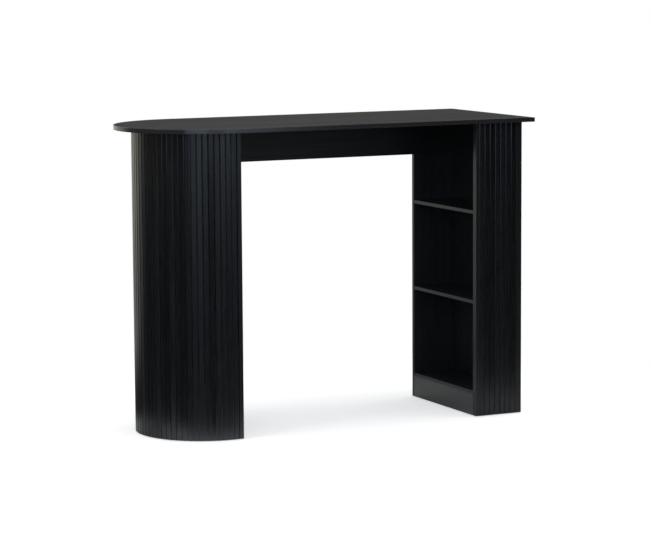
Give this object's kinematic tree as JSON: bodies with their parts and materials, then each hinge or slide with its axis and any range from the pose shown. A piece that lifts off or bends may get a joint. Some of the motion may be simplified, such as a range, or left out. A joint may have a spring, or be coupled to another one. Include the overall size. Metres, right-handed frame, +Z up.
{
  "type": "kitchen bar table",
  "caption": "Bar-height kitchen table: thin top rounded at one end on a slatted half-round column, square at the other on a narrow open shelf leg, tied by an apron along the back.",
  "frame": {"origin": "on the floor, under the centre of the top", "axes": "+X along the table from the round column to the shelf leg, +Y from the front to the back, +Z up"},
  "size_m": [1.4298, 0.6, 1.05],
  "materials": {
    "top_laminate": "smooth matte black laminate on particleboard",
    "carcass_laminate": "matte black wood-grain laminate on particleboard",
    "fluted_slats": "satin black foil with upright wood grain on slats",
    "corner_trim": "satin black foiled strip",
    "edge_band": "satin black edge banding",
    "raw_particleboard": "bare particleboard, hidden",
    "bendable_backing": "dark bendable backing sheet",
    "dowel_wood": "plain beech",
    "zinc_fittings": "zinc plated",
    "black_screws": "black zinc plated",
    "black_plastic": "moulded black plastic"
  },
  "bodies": {
    "root": {"top_board": "top_laminate", "top_edge_band": "edge_band", "column_side_board": "carcass_laminate", "column_top_plate": "raw_particleboard", "column_bottom_plate": "raw_particleboard", "column_ribs": "raw_particleboard", "column_backing": "bendable_backing", "column_slats": "fluted_slats", "column_corner_trims": "corner_trim", "column_glides": "black_plastic", "front_side_board": "carcass_laminate", "front_backing": "bendable_backing", "front_slats": "fluted_slats", "front_corner_trims": "corner_trim", "back_side_board": "carcass_laminate", "end_board": "carcass_laminate", "bottom_board": "carcass_laminate", "plinth_board": "carcass_laminate", "lower_shelf": "carcass_laminate", "upper_shelf": "carcass_laminate", "side_edge_bands": "edge_band", "shelf_leg_glides": "black_plastic", "lower_shelf_edge_band": "edge_band", "upper_shelf_edge_band": "edge_band", "bottom_board_edge_band": "edge_band", "apron_board": "carcass_laminate", "apron_edge_band": "edge_band", "rib_dowels": "dowel_wood", "plate_dowels": "dowel_wood", "top_dowels": "dowel_wood", "shelf_dowels": "dowel_wood", "end_board_dowels": "dowel_wood", "plinth_dowels": "dowel_wood", "apron_dowels": "dowel_wood", "top_cam_locks": "zinc_fittings", "top_cam_bolts": "zinc_fittings", "shelf_cam_locks": "zinc_fittings", "shelf_cam_bolts": "zinc_fittings", "end_board_cam_locks": "zinc_fittings", "end_board_cam_bolts": "zinc_fittings", "plinth_cam_locks": "zinc_fittings", "plinth_cam_bolts": "zinc_fittings", "apron_cam_locks": "zinc_fittings", "apron_cam_bolts": "zinc_fittings", "apron_end_screws": "zinc_fittings", "apron_face_screws": "black_screws", "cam_caps": "black_plastic", "screw_caps": "black_plastic"}
  },
  "joints": []
}
